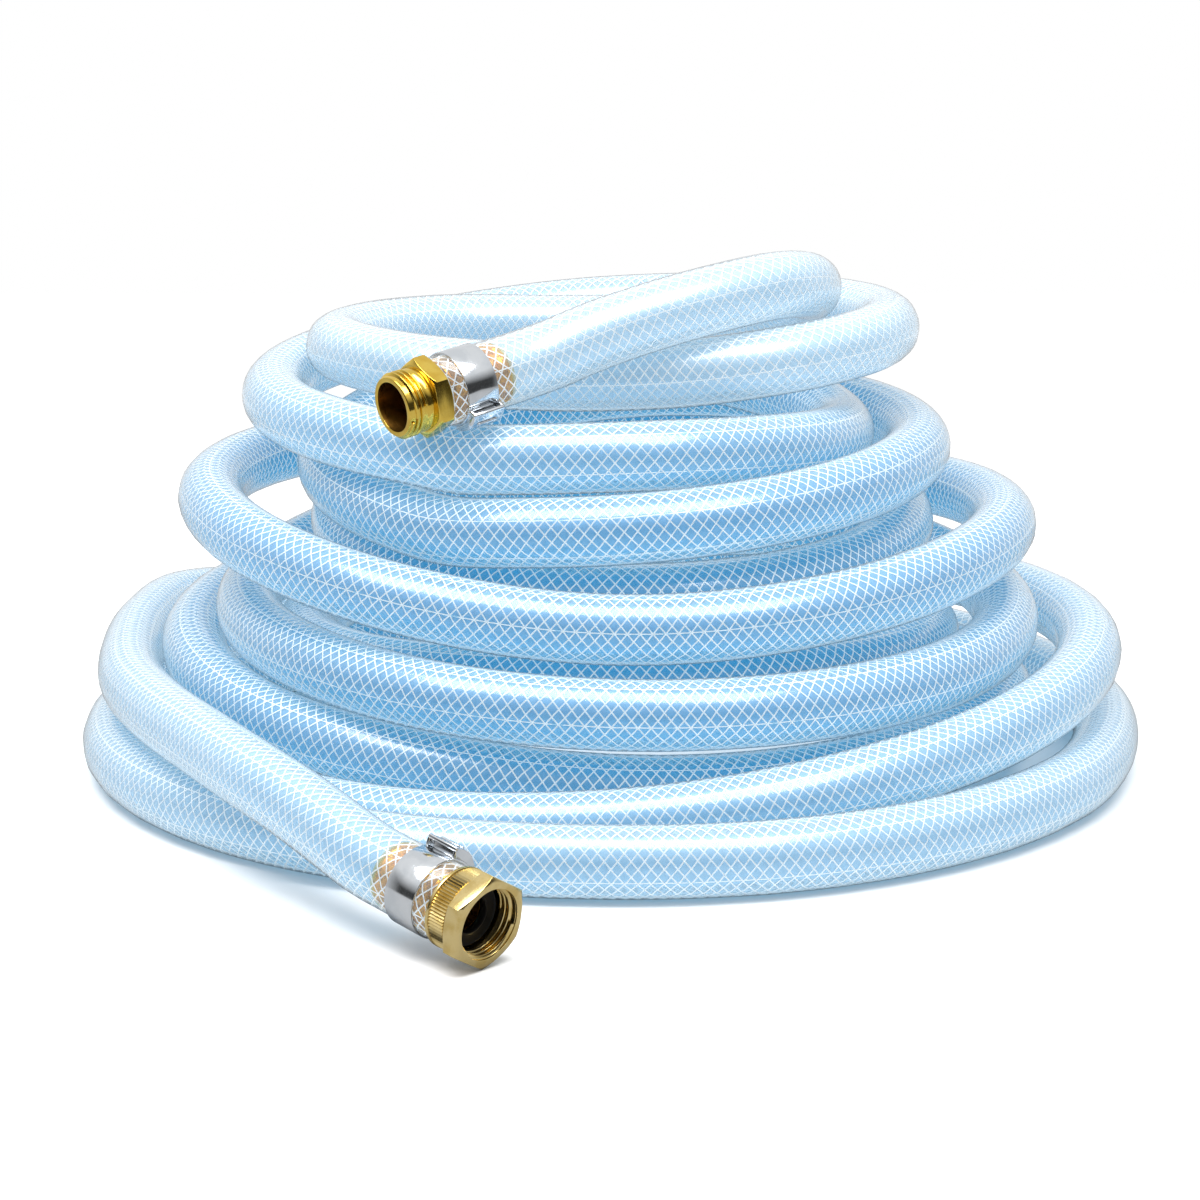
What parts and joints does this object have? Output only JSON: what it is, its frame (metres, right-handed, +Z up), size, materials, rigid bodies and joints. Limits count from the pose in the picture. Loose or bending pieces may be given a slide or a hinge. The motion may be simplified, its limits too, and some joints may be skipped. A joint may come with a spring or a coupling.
{
  "type": "clear braided hose with fittings",
  "caption": "Clear braided garden hose in a loose pile of turns, with clamped brass fittings: an external thread at the top end and a swivel nut at the floor end.",
  "frame": {"origin": "middle of the part's footprint, on the floor", "axes": "+Z up, +X to the right and -Y towards the viewer of the picture, where the female end lies"},
  "size_m": [0.4716, 0.5611, 0.2296],
  "materials": {
    "clear_pvc": "clear, faintly blue, smooth, with a white crossed yarn in the wall",
    "brass": "machined and polished",
    "clamp_steel": "polished strip",
    "rubber": "matte"
  },
  "bodies": {
    "hose": {"hose": "clear_pvc", "male_fitting": "brass", "female_stem": "brass", "male_clamp_band": "clamp_steel", "male_clamp_buckle": "clamp_steel", "female_clamp_band": "clamp_steel", "female_clamp_buckle": "clamp_steel"},
    "nut": {"swivel_nut": "brass", "sealing_washer": "rubber"}
  },
  "joints": [
    {"name": "nut_spin", "type": "hinge", "parent": "hose", "child": "nut", "pos_m": [-0.05139, -0.26292, 0.01935], "axis": [0.7144, -0.6804, -0.1633], "continuous": true}
  ]
}
